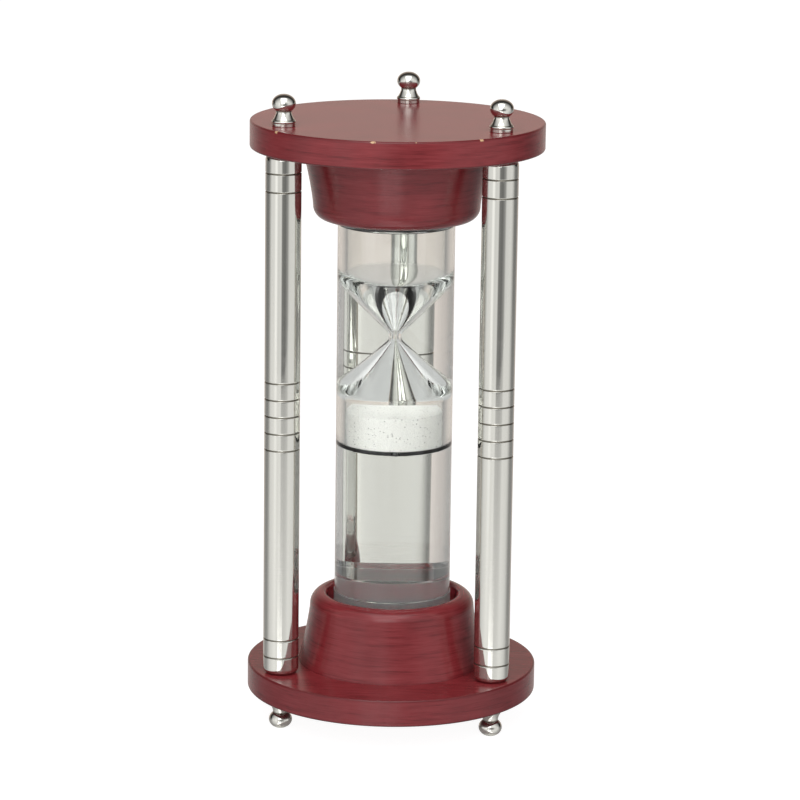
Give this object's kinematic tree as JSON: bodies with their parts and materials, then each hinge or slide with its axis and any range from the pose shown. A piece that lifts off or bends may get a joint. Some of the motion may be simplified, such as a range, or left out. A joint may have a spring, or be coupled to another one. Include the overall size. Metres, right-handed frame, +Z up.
{
  "type": "hourglass",
  "caption": "Floating hourglass: a sealed sand capsule rises and sinks in a liquid-filled clear tube held between two turned wooden discs by polished columns with ball feet and finials.",
  "frame": {"origin": "on the surface that the feet stand on, under the hourglass's axis", "axes": "+Z up along the tube, -Y towards the front opening between the left and right columns, +X to the right"},
  "size_m": [0.127, 0.127, 0.2794],
  "materials": {
    "lacquered_wood": "satin burgundy lacquer over turned hardwood",
    "polished_nickel": "polished nickel plate, slightly warm",
    "zinc_steel": "bright zinc plate",
    "black_rubber": "matte",
    "clear_acrylic": "clear, polished",
    "capsule_acrylic": "clear, moulded",
    "white_nylon": "matte",
    "white_sand": "fine white sand with a few dark grains"
  },
  "bodies": {
    "frame": {"top_disc": "lacquered_wood", "bottom_disc": "lacquered_wood", "upper_collar": "lacquered_wood", "lower_collar": "lacquered_wood", "column_left": "polished_nickel", "column_right": "polished_nickel", "column_rear": "polished_nickel", "tie_rod_left": "zinc_steel", "tie_rod_right": "zinc_steel", "tie_rod_rear": "zinc_steel", "finial_left": "polished_nickel", "finial_right": "polished_nickel", "finial_rear": "polished_nickel", "foot_left": "polished_nickel", "foot_right": "polished_nickel", "foot_rear": "polished_nickel", "upper_collar_screws": "zinc_steel", "lower_collar_screws": "zinc_steel", "upper_pad": "black_rubber", "lower_pad": "black_rubber", "upper_ring": "black_rubber", "lower_ring": "black_rubber", "tube": "clear_acrylic", "top_plug": "clear_acrylic", "bottom_plug": "clear_acrylic", "filler_screw": "white_nylon"},
    "capsule": {"capsule_shell": "capsule_acrylic", "capsule_top_cap": "capsule_acrylic", "capsule_base_cap": "capsule_acrylic", "capsule_top_seal": "black_rubber", "capsule_base_seal": "black_rubber", "sand_stopper": "black_rubber", "sand": "white_sand"}
  },
  "joints": [
    {"name": "capsule_float", "type": "slide", "parent": "frame", "child": "capsule", "axis": [0, 0, 1], "range_m": [-0.0559, 0], "stiffness_N_per_m": 3, "springref_m": 0.35}
  ]
}
